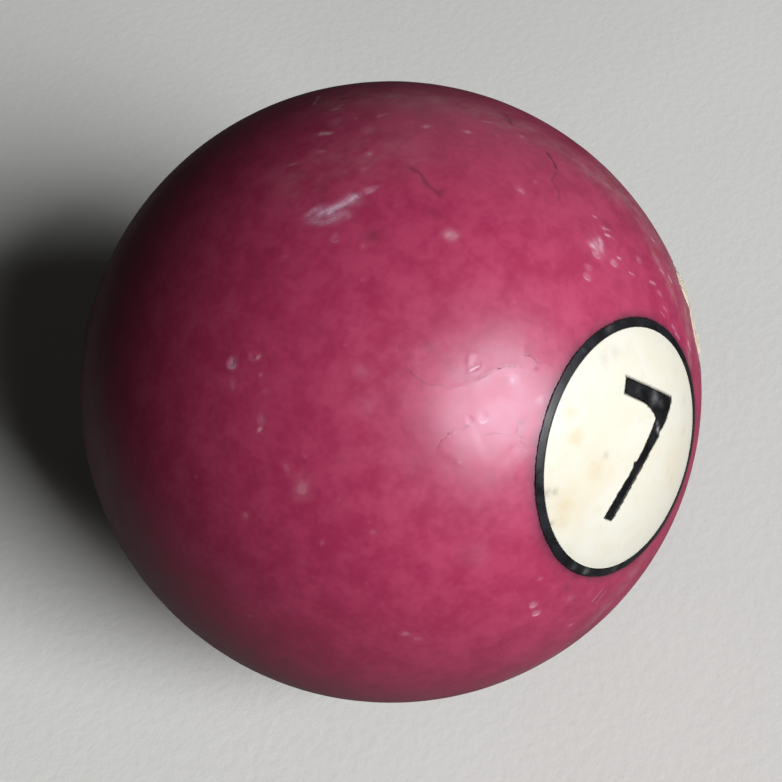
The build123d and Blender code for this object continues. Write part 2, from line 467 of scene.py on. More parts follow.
def cut_gouge(wear, path, width, depth, darkness):
    """A groove with dirt in it and a low lip on each side."""
    near, left, along, length = beside(wear.dirs, path, 2.5 * width)
    left = left + 0.25 * width * np.sin(2.7 * along + 3 * width)
    ends = faded_ends(along, length, 0.1, 0.7)
    spread = width * (0.8 + 0.25 * np.sin(3.3 * along))
    across = np.abs(left) / spread
    groove = bell(across, 0.6)
    lip = bell(across - 1.35, 0.35)
    wear.height[near] += ends * depth * (0.12 * lip - groove)
    wear.stain("grime", near, darkness * ends * bell(across, 0.8))


def open_crack(wear, left_tilt, right_tilt, path):
    """A wandering hairline between two faintly tilted facets of the surface."""
    near, left, along, length = beside(wear.dirs, path, 4.5)
    left = left + 0.07 * ripple(wear.dirs[near], 1.4, 4) + 0.03 * ripple(wear.dirs[near], 0.6, 6)
    ends = faded_ends(along, length, 0.1, 0.7)
    strength = ends * np.clip(0.70 + 0.45 * ripple(wear.dirs[near], 1.6, 3), 0, 1)
    across = np.abs(left) / CRACK_W
    gap = np.sqrt(left**2 + 0.004)
    fade = smooth((4.4 - gap) / 1.5)
    facet = ends * fade * gap * np.exp(-gap / 1.1)
    wear.height[near] += np.where(left > 0, left_tilt, right_tilt) * facet
    wear.height[near] -= CRACK_DEPTH * strength * bell(across, 1)
    wear.stain("crack", near, strength * bell(across, 1.1))


def soft_spot(wear, name, azimuth, elevation, radius, strength):
    near, x, y = around(wear.dirs, bearing(azimuth, elevation), 2 * radius)
    reach = np.hypot(x, y) / radius * (1 + 0.12 * ripple(wear.dirs[near], 3.0 * radius, 21))
    wear.stain(name, near, strength * np.exp(-1.1 * reach**2))


def lay_film(wear, path, width, strength):
    near, left, along, length = beside(wear.dirs, path, 1.6 * width)
    ends = np.hypot(left, np.maximum(0, np.maximum(-along, along - length)))
    patches = 0.75 + 0.35 * ripple(wear.dirs[near], 2.2, 8) + 0.2 * ripple(wear.dirs[near], 0.8, 9)
    wear.stain("film", near, strength * np.exp(-((ends / width) ** 2) * 1.5) * patches)


def ring_raggedness(turn):
    """How far the ring's outer edge strays from round, in millimetres."""
    slow = 0.022 * np.sin(3 * turn + 0.6) + 0.014 * np.sin(7 * turn + 2.0)
    fast = 0.009 * np.sin(19 * turn + 1.0) + 0.007 * np.sin(37 * turn) + 0.005 * np.sin(71 * turn + 4)
    return slow + fast - 0.11


def ring_edge(turn):
    """The ring's outer radius in the disc's flat frame."""
    return RING_R + ring_raggedness(turn)


def from_ring(dirs, side):
    """How far outside the ring's edge each direction is along the surface, and the turn."""
    right, up, outward = number_frame(side)
    turn = np.arctan2(dirs @ up, dirs @ right)
    angle = np.arccos(np.clip(dirs @ outward, -1, 1))
    return BALL_R * (angle - np.arcsin(ring_edge(turn) / BALL_R)), turn


def wear_ring_edges(wear):
    """Black bled into the skin's edge at each ring."""
    for side in ("front", "rear"):
        gap, turn = from_ring(wear.dirs, side)
        near = np.nonzero(gap < 1.5)[0]
        gap = np.maximum(gap[near], 0)
        reach = 0.40 + 0.06 * ripple(wear.dirs[near], 1.2, 31) + 0.08 * ripple(wear.dirs[near], 5.0, 32)
        wear.stain("bleed", near, 0.82 * np.exp(-((gap / np.maximum(reach, 0.12)) ** 1.2)))


def arc_points(start, middle, end, step):
    """Points along the circle through three points, without the last one."""
    (x1, y1), (x2, y2), (x3, y3) = start, middle, end
    cross = 2 * (x1 * (y2 - y3) + x2 * (y3 - y1) + x3 * (y1 - y2))
    s1, s2, s3 = x1**2 + y1**2, x2**2 + y2**2, x3**2 + y3**2
    cx = (s1 * (y2 - y3) + s2 * (y3 - y1) + s3 * (y1 - y2)) / cross
    cy = (s1 * (x3 - x2) + s2 * (x1 - x3) + s3 * (x2 - x1)) / cross
    radius = hypot(x1 - cx, y1 - cy)
    first = atan2(y1 - cy, x1 - cx)
    swing = (atan2(y3 - cy, x3 - cx) - first + pi) % (2 * pi) - pi
    count = max(2, ceil(abs(swing) * radius / step))
    turns = first + swing * np.arange(count) / count
    return np.stack([cx + radius * np.cos(turns), cy + radius * np.sin(turns)], axis=1)


def line_points(start, end, step):
    """Points along a straight line, without the last one."""
    start, end = np.array(start), np.array(end)
    count = max(1, ceil(np.linalg.norm(end - start) / step))
    return start + np.outer(np.arange(count) / count, end - start)


def flake_outline():
    """The flake's broken edge as directions: scallops that meet in cusps, roughened."""
    lower, upper = -FLAKE_W / 2, FLAKE_W / 2
    left, right = -FLAKE_L / 2, FLAKE_L / 2
    cusps = [
        (left, 0.10 * lower),
        (0.62 * left, 0.86 * lower),
        (0.10 * left, 0.92 * lower),
        (0.48 * right, 0.80 * lower),
        (right, 0.05 * upper),
        (0.62 * right, 0.90 * upper),
        (0.05 * right, 0.62 * upper),
        (0.48 * left, 0.86 * upper),
        (0.84 * left, 0.50 * upper),
    ]
    flat = []
    for start, end in zip(cusps, cusps[1:] + cusps[:1]):
        bow = (
            (start[0] + end[0]) / 2 + 0.10 * (end[1] - start[1]),
            (start[1] + end[1]) / 2 + 0.10 * (start[0] - end[0]),
        )
        flat.append(arc_points(start, bow, end, 0.09))
    flat = np.concatenate(flat)
    draw = np.random.default_rng(12)
    chips = np.convolve(np.tile(draw.normal(0, 0.075, len(flat)), 3), [0.25, 0.5, 0.25], "same")
    chips = chips[len(flat) : 2 * len(flat)]
    flat *= 1 + (chips / np.linalg.norm(flat, axis=1))[:, None]
    centre = bearing(*FLAKE_PLACE)
    along, across = local_frame(centre, FLAKE_LEAN)
    depth = np.sqrt(BALL_R**2 - (flat**2).sum(axis=1))
    level = np.outer(flat[:, 0], along) + np.outer(flat[:, 1], across)
    return (level + np.outer(depth, centre)) / BALL_R


flake_edge = flake_outline()


def from_flake(dirs):
    """Which directions are near the flake, and how far each is from its edge in mm."""
    centre = bearing(*FLAKE_PLACE)
    near = np.nonzero(dirs @ centre > cos(FLAKE_REACH / BALL_R))[0]
    gaps = np.empty(len(near))
    for first in range(0, len(near), 2000):
        chunk = near[first : first + 2000]
        closest = (dirs[chunk] @ flake_edge.T).max(axis=1)
        gaps[first : first + 2000] = BALL_R * np.arccos(np.clip(closest, -1, 1))
    return near, gaps


def wear_flake_edge(wear):
    """The skin beside the flake: chipped thinner, rubbed pale right at the break."""
    near, gap = from_flake(wear.dirs)
    chips = 0.6 + 0.5 * ripple(wear.dirs[near], 0.9, 41)
    wear.height[near] -= 0.10 * np.clip(chips, 0, 1) * bell(gap, 0.30)
    wear.stain("chalk_and_glint", near, 0.6 * bell(gap, 0.12))
    wear.stain("film", near, 0.8 * bell(gap, 1.1))


def skin_wear(dirs):
    """Everything that has happened to the maroon skin, with painted glints in some dents."""
    wear = Wear(dirs)
    wear.height += 0.004 * ripple(dirs, 9.0, 1) + 0.0034 * ripple(dirs, 3.6, 2) - 0.004
    for mark in DENTS + scattered_dents:
        press_dent(wear, *mark)
    for mark in RUBS_AND_GLINTS + scattered_rubs:
        rub_and_glint_path(wear, "chalk_and_glint", *mark)
    for mark in FLECKS:
        rub_and_glint_path(wear, "fleck", *mark)
    for mark in GOUGES:
        cut_gouge(wear, *mark)
    for mark in CRACKS:
        open_crack(wear, *mark)
    for mark in GRIME_SPOTS:
        soft_spot(wear, "grime", *mark)
    for mark in PALE_BLOTCHES:
        soft_spot(wear, "fleck", *mark)
    for mark in FILMS:
        lay_film(wear, *mark)
    wear_ring_edges(wear)
    wear_flake_edge(wear)
    wear.height = np.minimum(wear.height, PROUD - 0.002)
    return wear


def slopes(dirs, height_of):
    """Surface normals, from how the height changes a hair's breadth away."""
    step = 0.012
    first = normalised(np.cross(dirs, (0.31, 0.52, 0.79)))
    second = np.cross(dirs, first)
    here = height_of(dirs)
    rise_1 = (height_of(normalised(dirs + first * step / BALL_R)) - here) / step
    rise_2 = (height_of(normalised(dirs + second * step / BALL_R)) - here) / step
    return normalised(dirs - first * rise_1[:, None] - second * rise_2[:, None])


# ---------------------------------------------------------------- points and faces


def lattice_count(spacing):
    return int(4 * pi * BALL_R**2 / (spacing**2 * sqrt(3) / 2))


def lattice_points(spacing, index):
    """Points of an even lattice over the ball, numbered along the number axis."""
    count = lattice_count(spacing)
    z = 1 - (2 * index + 1) / count
    turn = (index + 0.5) * pi * (3 - sqrt(5))
    flat = np.sqrt(1 - z * z)
    return np.outer(flat * np.cos(turn), RIGHT) + np.outer(flat * np.sin(turn), UP) + np.outer(z, OUT)


def lattice_band(spacing, nearest, farthest):
    """Lattice numbers between two angles from the front number's axis."""
    count = lattice_count(spacing)
    first = int((1 - cos(nearest)) / 2 * count)
    last = min(count, int((1 - cos(farthest)) / 2 * count) + 1)
    return np.arange(first, last)


def lattice_cap(spacing, centre, reach):
    """Lattice numbers within reach of a place."""
    angle = acos(max(-1.0, min(1.0, float(centre @ OUT))))
    spread = reach / BALL_R
    index = lattice_band(spacing, max(0, angle - spread), min(pi, angle + spread))
    return index[lattice_points(spacing, index) @ centre > cos(spread)]


def mark_caps():
    """Where the surface needs close points: place, reach and spacing level."""
    caps = []
    for mark in DENTS:
        caps.append((bearing(*mark[:2]), 1.5 * mark[2], 0))
    for mark in scattered_dents:
        caps.append((bearing(*mark[:2]), 1.5 * mark[2], 1))
    for path, width, _, _ in RUBS_AND_GLINTS + FLECKS + GOUGES:
        caps += path_caps(path, 1.5 * width, 0)
    for path, width, _, _ in scattered_rubs:
        caps += path_caps(path, 1.5 * width, 1)
    for _, _, path in CRACKS:
        caps += path_caps(path, 3 * CRACK_W, 0)
    for azimuth, elevation, radius, _ in GRIME_SPOTS + PALE_BLOTCHES:
        caps.append((bearing(azimuth, elevation), 1.4 * radius, 2))
    for path, width, _ in FILMS:
        caps += path_caps(path, width, 2)
    for place in flake_edge[::3]:
        caps.append((place, 0.5, 1))
    return caps


def path_caps(path, reach, level):
    """Overlapping caps all along a path."""
    caps = []
    for start, end in zip(path, path[1:]):
        first, last = bearing(*start), bearing(*end)
        span = BALL_R * acos(max(-1.0, min(1.0, float(first @ last))))
        count = max(2, ceil(span / (0.9 * reach)) + 1)
        for share in np.linspace(0, 1, count):
            place = first * (1 - share) + last * share
            caps.append((place / np.linalg.norm(place), 1.35 * reach, level))
    return caps


def graded_points(caps, rims, wanted):
    """Points over the ball: close in the caps and beside the rims, then wider apart.
    rims are loops that the points keep clear of; wanted says which points may stay."""
    kept = [np.concatenate(rims)]
    for level, spacing in enumerate(SPACINGS):
        if level == len(SPACINGS) - 1:
            index = np.arange(lattice_count(spacing))
        else:
            found = [lattice_cap(spacing, *grown) for grown in grown_caps(caps, level)]
            index = np.unique(np.concatenate(found)) if found else np.zeros(0, int)
        points = lattice_points(spacing, index)
        points = points[wanted(points)]
        taken = np.concatenate(kept)
        tree = kdtree.KDTree(len(taken))
        for number, place in enumerate(taken.tolist()):
            tree.insert(place, number)
        tree.balance()
        clear = 0.72 * spacing / BALL_R
        free = [tree.find(place)[2] > clear for place in points.tolist()]
        kept.append(points[np.array(free, bool)])
    return np.concatenate(kept[1:])


def grown_caps(caps, level):
    """Each cap at its own level, and wider at the coarser levels round it."""
    for centre, reach, own in caps:
        if own <= level:
            yield centre, reach + sum(2.5 * SPACINGS[k] for k in range(own, level))


def flattened(dirs):
    """Stereographic map from the front number's axis, which keeps good triangles good."""
    z = dirs @ OUT
    scale = 1 / (1 + z)
    return np.stack([dirs @ RIGHT * scale, dirs @ UP * scale], axis=1)


def triangulated(points, loops):
    """Triangles over flat points. The loops are runs of point numbers that bound them."""
    edges = [pair for loop in loops for pair in zip(loop, loop[1:] + loop[:1])]
    corners = [Vector(point) for point in points.tolist()]
    made = geometry.delaunay_2d_cdt(corners, edges, [], 2, 1e-9)
    if len(made[0]) != len(points):
        raise ValueError("two points of a surface coincide")
    return np.array(made[2])


def loop_numbers(first, count):
    return list(range(first, first + count))


def level_with(points, outward, height):
    """The same points moved along the axis to one height over the ball's centre."""
    return points + np.outer(height - points @ outward, outward)


class Solid:
    """Gathers one piece's surfaces. Each keeps its own corner normals, so edges stay crisp."""

    def __init__(self):
        self.points = []
        self.faces = []
        self.normals = []
        self.stains = {}
        self.count = 0

    def surface(self, points, faces, normals, stains=None):
        """Adds points and faces, and gives the number of the first point."""
        first = self.count
        self.points.append(points)
        self.faces += (faces + first).tolist()
        self.normals += normals[faces].reshape(-1, 3).tolist()
        for name, values in (stains or {}).items():
            self.stains.setdefault(name, []).append((first, values))
        self.count += len(points)
        return first

    def wall(self, upper, lower):
        """Joins two loops of as many points with a band of faces."""
        points = np.concatenate(self.points)
        rows = zip(upper, upper[1:] + upper[:1], lower[1:] + lower[:1], lower)
        for face in rows:
            a, b, c, d = (points[number] for number in face)
            normal = np.cross(c - a, d - b)
            normal /= max(np.linalg.norm(normal), 1e-12)
            self.faces.append(list(face))
            self.normals += [normal.tolist()] * 4

    def flat_end(self, loop, outward, height, facing):
        """A wall from a loop to a flat end at a height, which faces 1 outward or -1 inward."""
        foot = level_with(np.concatenate(self.points)[loop], outward, height)
        centre = (outward * height)[None]
        steps = len(loop)
        fan = np.array([(k, (k + 1) % steps, steps) for k in range(steps)])[:, ::facing]
        normals = np.tile(facing * outward, (steps + 1, 1))
        first = self.surface(np.concatenate([foot, centre]), fan, normals)
        self.wall(loop, loop_numbers(first, steps))

    def made(self, name):
        """The finished object."""
        mesh = bpy.data.meshes.new(name)
        points = np.concatenate(self.points) * MM
        mesh.from_pydata(points.tolist(), [], self.faces)
        for stain, runs in self.stains.items():
            values = np.zeros(len(points), np.float32)
            for first, amounts in runs:
                values[first : first + len(amounts)] = amounts
            mesh.attributes.new(stain, "FLOAT", "POINT").data.foreach_set("value", values)
        mesh.shade_smooth()
        mesh.normals_split_custom_set(self.normals)
        piece = bpy.data.objects.new(name, mesh)
        bpy.context.scene.collection.objects.link(piece)
        return piece


# ---------------------------------------------------------------- skin and core


def window_loop(side, steps, edge):
    """The directions round a number's window. edge gives the flat radius for each turn."""
    right, up, outward = number_frame(side)
    turn = 2 * pi * np.arange(steps) / steps
    radius = edge(turn)
    depth = np.sqrt(BALL_R**2 - radius**2)
    flat = np.outer(radius * np.cos(turn), right) + np.outer(radius * np.sin(turn), up)
    return (flat + np.outer(depth, outward)) / BALL_R


def outward_faces(points, faces):
    """Turns every face so that it looks away from the ball's centre."""
    a, b, c = (points[faces[:, corner]] for corner in range(3))
    inward = np.einsum("ij,ij->i", np.cross(b - a, c - a), a) < 0
    faces[inward] = faces[inward][:, ::-1]
    return faces


def within(points, outline):
    """Which flat points lie inside a closed outline."""
    x, y = points[:, 0], points[:, 1]
    crossings = np.zeros(len(points), int)
    for (x1, y1), (x2, y2) in zip(outline, np.roll(outline, -1, axis=0)):
        if y1 != y2:
            between = (y > min(y1, y2)) & (y <= max(y1, y2))
            crossings += between & (x < x1 + (y - y1) * (x2 - x1) / (y2 - y1))
    return crossings % 2 == 1


def inside_flake(dirs):
    """Which directions lie inside the flake's edge."""
    centre = bearing(*FLAKE_PLACE)
    along, across = local_frame(centre, FLAKE_LEAN)
    close = dirs @ centre > 0.95
    flat, edge = (np.stack([some @ along, some @ across], axis=1) for some in (dirs, flake_edge))
    return close & within(flat, edge)


def outside_windows(dirs, margin):
    return (from_ring(dirs, "front")[0] > margin) & (from_ring(dirs, "rear")[0] > margin)


def skin_shell():
    """The maroon skin: wear and painted glints outside, plain inside, and broken open at the flake."""
    rims = [window_loop(side, RING_STEPS, ring_edge) for side in ("front", "rear")]
    rims.append(flake_edge)
    caps = mark_caps()
    for rim in rims[:2]:
        caps += [(place, 0.55, 1) for place in rim[::4]]
    outer = graded_points(caps, rims, lambda dirs: outside_windows(dirs, 0.03) & ~inside_flake(dirs))
    dirs = np.concatenate(rims + [outer])
    counts = [len(rim) for rim in rims]
    loops = [loop_numbers(sum(counts[:k]), counts[k]) for k in range(3)]
    faces = outward_faces(dirs, triangulated(flattened(dirs), loops))
    wear = skin_wear(dirs)
    solid = Solid()
    normals = slopes(dirs, lambda some: skin_wear(some).height)
    solid.surface(dirs * (FACE_R + wear.height)[:, None], faces, normals, wear.stains)

    plain = lattice_points(INNER_SPACING, np.arange(lattice_count(INNER_SPACING)))
    flake_gap = np.ones(len(plain), bool)
    near, gap = from_flake(plain)
    flake_gap[near] = gap > 0.8
    plain = plain[outside_windows(plain, 0.8) & ~inside_flake(plain) & flake_gap]
    inner = np.concatenate(rims + [plain])
    faces = outward_faces(inner, triangulated(flattened(inner), loops))
    first = solid.surface(inner * (FACE_R - SKIN_T), faces[:, ::-1], -inner)
    for loop in loops:
        solid.wall([number + first for number in loop], loop)
    return solid.made("worn_skin")


# Specks of skin left on the bare crust: place and radius
REMNANTS = [(-46.4, 20.4, 0.50), (-52.5, 17.0, 0.40), (-41.0, 15.0, 0.60)]


def crust_wear(dirs):
    """The core's bare crust in the flake: rough filler standing up to the skin's level."""
    height = np.zeros(len(dirs))
    near, gap = from_flake(dirs)
    open_to_air = inside_flake(dirs[near])
    rise = smooth(gap / 0.55) * (SKIN_T + 0.03)
    lumps = 0.085 * ripple(dirs[near], 2.4, 51) + 0.050 * ripple(dirs[near], 0.95, 52)
    grit = 0.030 * ripple(dirs[near], 0.42, 53)
    height[near] = np.where(open_to_air, rise + smooth(gap / 0.8) * (lumps + grit), 0)
    return height


def core_solid():
    """The composition core: a ball with a pocket for each disc and a rough bare patch."""
    steps = RING_STEPS // 4
    rims = [window_loop(side, steps, lambda turn: RING_R + 0 * turn) for side in ("front", "rear")]
    caps = [(bearing(*FLAKE_PLACE), FLAKE_L / 2 + 0.3, 1)]
    points = graded_points(caps, rims, lambda dirs: outside_windows(dirs, 0.3))
    near, _ = from_flake(points)
    thinned = np.zeros(len(points), bool)
    thinned[::9] = True
    thinned[near] = True
    dirs = np.concatenate(rims + [points[thinned]])
    loops = [loop_numbers(0, steps), loop_numbers(steps, steps)]
    faces = outward_faces(dirs, triangulated(flattened(dirs), loops))
    solid = Solid()
    normals = slopes(dirs, crust_wear)
    height = crust_wear(dirs)
    residue = np.zeros(len(dirs))
    for azimuth, elevation, radius in REMNANTS:
        near, x, y = around(dirs, bearing(azimuth, elevation), 2.5 * radius)
        residue[near] = np.maximum(residue[near], np.exp(-((np.hypot(x, y) / radius) ** 4)))
    solid.surface(dirs * (CORE_R + height)[:, None], faces, normals, {"residue": residue})
    for side, loop in zip(("front", "rear"), loops):
        solid.flat_end(loop, number_frame(side)[2], PLUG_FLOOR, 1)
    return solid.made("core")


# ---------------------------------------------------------------- number discs

# Chips and swellings of the front 7's hand-cut edge: x, y, radius, push outwards
NUMERAL_CHIPS = [
    (2.06, 2.25, 0.42, -0.20),
    (-0.30, -0.98, 0.28, 0.20),
    (-0.60, -2.10, 0.45, -0.06),
    (-1.14, -3.63, 0.40, 0.08),
    (0.75, -1.90, 0.35, -0.06),
    (0.28, -3.75, 0.35, -0.06),
]

# Stains on the front disc's face: x, y, radius, strength
AMBER_STAINS = [
    (-6.60, -5.60, 2.60, 0.28),
    (-4.60, -2.60, 2.40, 0.24),
    (6.30, 0.40, 1.80, 0.12),
    (-8.75, 1.05, 0.55, 0.45),
    (-7.60, -0.60, 0.75, 0.55),
    (-4.70, -2.40, 1.20, 0.45),
    (-3.00, -2.10, 0.70, 0.25),
    (-6.20, -5.90, 1.05, 0.60),
    (-5.80, -7.00, 1.10, 0.50),
    (-7.80, -2.60, 0.80, 0.22),
    (-4.40, -5.60, 0.80, 0.28),
    (-2.60, -5.40, 0.60, 0.22),
    (6.70, -1.00, 0.80, 0.30),
    (4.60, 0.70, 0.60, 0.20),
    (-1.10, -6.90, 0.70, 0.15),
    (0.40, -8.00, 0.60, 0.15),
]
SOOT_SPOTS = [
    (-6.45, 6.00, 0.50, 0.16),
    (-5.35, 6.90, 0.50, 0.16),
    (-4.10, -1.10, 0.30, 0.30),
    (-8.20, -5.35, 0.36, 0.42),
    (-7.55, -5.10, 0.26, 0.50),
    (-6.50, -7.50, 0.22, 0.45),
    (-3.10, -9.15, 0.22, 0.35),
    (-3.85, -8.90, 0.18, 0.30),
    (-9.65, 1.80, 0.20, 0.30),
    (6.75, 3.25, 0.45, 0.14),
    (5.80, 5.60, 0.45, 0.12),
    (5.40, -0.45, 0.30, 0.14),
    (3.50, 7.60, 0.40, 0.10),
]

# Grey patches on the black numeral and ring: x, y, radius, strength. Most are wear; the
# numeral's patch at its top corner is a painted sheen, and the ring's patches are partly painted
# glints.
NUMERAL_WEAR_AND_SHEEN = [
    (0.30, 4.70, 0.50, 0.36),
    (1.30, 4.50, 0.40, 0.14),
    (1.62, 2.35, 0.20, 1.00),
    (1.35, 2.75, 0.16, 0.50),
    (-2.20, 4.70, 0.35, 0.08),
]
RING_WEAR_AND_GLINTS = [
    (0.17, -10.45, 0.34, 0.34),
    (-6.25, 8.55, 0.34, 0.20),
    (-1.60, -10.30, 0.22, 0.14),
    (-8.60, 6.00, 0.26, 0.10),
    (4.10, -9.60, 0.30, 0.12),
]


def numeral_outline(chips):
    """The 7's edge in the disc's flat frame, as a closed loop of points."""
    step = 0.10
    top_left, top_right = (BAR_LEFT, BAR_TOP), (BAR_RIGHT, BAR_TOP)
    corner = (BAR_RIGHT + 0.05, BAR_TOP - 0.53)
    right_knee = (1.76, 1.50)
    foot_right, foot_left = (FOOT_RIGHT, FOOT_Y), (FOOT_LEFT, FOOT_Y)
    left_knee = (0.12, 0.10)
    crook = (0.98, 3.15)
    bar_bend = (-1.50, 3.96)
    bar_end = (BAR_LEFT + 0.10, 4.06)
    outline = np.concatenate([
        line_points(bar_end, top_left, step),
        line_points(top_left, top_right, step),
        line_points(top_right, corner, step),
        arc_points(corner, (2.60, 3.40), right_knee, step),
        arc_points(right_knee, (0.41, -2.05), foot_right, step),
        line_points(foot_right, foot_left, step),
        arc_points(foot_left, (-0.84, -2.75), left_knee, step),
        line_points(left_knee, crook, step),
        arc_points(crook, (-0.10, 3.72), bar_bend, step),
        line_points(bar_bend, bar_end, step),
    ])
    ahead = np.roll(outline, -1, axis=0) - np.roll(outline, 1, axis=0)
    out = np.stack([-ahead[:, 1], ahead[:, 0]], axis=1)
    out /= np.linalg.norm(out, axis=1, keepdims=True)
    number = np.arange(len(outline))
    push = 0.003 * np.sin(0.9 * number) + 0.009 * np.sin(0.31 * number + 1) - 0.012
    for x, y, radius, amount in chips:
        reach = np.hypot(outline[:, 0] - x, outline[:, 1] - y) / radius
        push += amount * np.clip(1 - reach**2, 0, 1) ** 2
    return outline + out * push[:, None]


def gap_to(points, outline):
    """How far each flat point is from an outline's points."""
    return np.sqrt(((points[:, None, :] - outline[None, :, :]) ** 2).sum(axis=2)).min(axis=1)


def flat_lattice(reach, spacing):
    """A triangular lattice of flat points within a circle."""
    rows = int(reach / spacing) + 2
    i, j = np.meshgrid(np.arange(-rows, rows + 1), np.arange(-rows, rows + 1))
    x = (i + 0.5 * (j % 2)) * spacing
    y = j * spacing * sqrt(3) / 2
    points = np.stack([x.ravel(), y.ravel()], axis=1)
    return points[np.hypot(points[:, 0], points[:, 1]) < reach]


def spherical(points, side):
    """Directions of flat points on a number's face."""
    right, up, outward = number_frame(side)
    depth = np.sqrt(BALL_R**2 - (points**2).sum(axis=1))
    level = np.outer(points[:, 0], right) + np.outer(points[:, 1], up)
    return (level + np.outer(depth, outward)) / BALL_R


def crown_height(dirs, side, outline, at_disc):
    """Worn height of a disc's or a numeral's crown: eased edges, faint waviness and sinking."""
    right, up, outward = number_frame(side)
    flat = BALL_R * np.stack([dirs @ right, dirs @ up], axis=1)
    edge = gap_to(flat, outline)
    height = 0.0025 * ripple(dirs, 6.0, 61) + 0.0012 * ripple(dirs, 2.0, 62) - 0.004
    height -= 0.006 * bell(edge, 0.09)
    if at_disc:
        rim = DISC_R - np.hypot(flat[:, 0], flat[:, 1])
        height -= 0.020 * bell(rim, 0.10)
    return height


def face_marks(flat, marks):
    """How strongly each flat point is stained by a list of round marks."""
    amount = np.zeros(len(flat))
    for x, y, radius, strength in marks:
        gap_x, gap_y = flat[:, 0] - x, flat[:, 1] - y
        ragged = 1 + 0.12 * np.sin(3 * np.arctan2(gap_y, gap_x) + 7 * x)
        reach = np.hypot(gap_x, gap_y) / (radius * ragged)
        amount = np.maximum(amount, strength * np.exp(-0.9 * reach**2))
    return amount


def disc_rim(radius):
    turn = 2 * pi * np.arange(RING_STEPS) / RING_STEPS
    return radius * np.stack([np.cos(turn), np.sin(turn)], axis=1)


def oriented(points, faces, outward):
    """Turns every face to look along outward."""
    a, b, c = (points[faces[:, corner]] for corner in range(3))
    inward = np.cross(b - a, c - a) @ outward < 0
    faces[inward] = faces[inward][:, ::-1]
    return faces


def numeral_floor(solid, outline, loop, outward, facing):
    """The flat 7 at the pocket's depth, facing 1 outward or -1 inward, and a wall from it."""
    flat = level_with(np.concatenate(solid.points)[loop], outward, NUMERAL_FLOOR)
    own = loop_numbers(0, len(outline))
    faces = oriented(flat, triangulated(outline, [own]), facing * outward)
    first = solid.surface(flat, faces, np.tile(facing * outward, (len(flat), 1)))
    foot = loop_numbers(first, len(outline))
    if facing > 0:
        solid.wall(loop, foot)
    else:
        solid.wall(foot, loop)


def disc_plug(side, outline):
    """The white plug: a crowned face round the 7's pocket, a wall and a flat back."""
    _, _, outward = number_frame(side)
    rim = disc_rim(DISC_R)
    inner_rim = disc_rim(DISC_R - 0.11)[::2]
    lattice = flat_lattice(DISC_R - 0.2, DISC_SPACING)
    lattice = lattice[(gap_to(lattice, outline) > 0.13) & ~within(lattice, outline)]
    flat = np.concatenate([rim, outline, inner_rim, lattice])
    loops = [loop_numbers(0, RING_STEPS), loop_numbers(RING_STEPS, len(outline))]
    dirs = spherical(flat, side)
    faces = triangulated(flat, loops)
    points = dirs * (FACE_R + crown_height(dirs, side, outline, True))[:, None]
    normals = slopes(dirs, lambda some: crown_height(some, side, outline, True))
    stained = side == "front"
    stains = {
        "amber": face_marks(flat, AMBER_STAINS if stained else AMBER_STAINS[5:9]),
        "soot": face_marks(flat, SOOT_SPOTS if stained else SOOT_SPOTS[3:]),
    }
    solid = Solid()
    solid.surface(points, oriented(points, faces, outward), normals, stains)
    numeral_floor(solid, outline, loops[1], outward, 1)
    solid.flat_end(loops[0], outward, PLUG_FLOOR, -1)
    return solid.made(f"number_disc_{side}_crowned")


def numeral_inlay(side, outline):
    """The black 7, flush with the crown and let into the disc's pocket."""
    _, _, outward = number_frame(side)
    lattice = flat_lattice(8.0, NUMERAL_SPACING)
    lattice = lattice[within(lattice, outline) & (gap_to(lattice, outline) > 0.09)]
    flat = np.concatenate([outline, lattice])
    loop = loop_numbers(0, len(outline))
    dirs = spherical(flat, side)
    points = dirs * (FACE_R + crown_height(dirs, side, outline, False))[:, None]
    normals = slopes(dirs, lambda some: crown_height(some, side, outline, False))
    faces = oriented(points, triangulated(flat, [loop]), outward)
    solid = Solid()
    solid.surface(points, faces, normals, {"wear_and_sheen": face_marks(flat, NUMERAL_WEAR_AND_SHEEN)})
    numeral_floor(solid, outline, loop, outward, -1)
    return solid.made(f"numeral_{side}_inlaid")


def band_faces(row):
    """Triangles between one row of ring points and the next."""
    faces = []
    for k in range(RING_STEPS):
        a, b = row * RING_STEPS + k, row * RING_STEPS + (k + 1) % RING_STEPS
        faces += [(a, a + RING_STEPS, b + RING_STEPS), (a, b + RING_STEPS, b)]
    return np.array(faces)


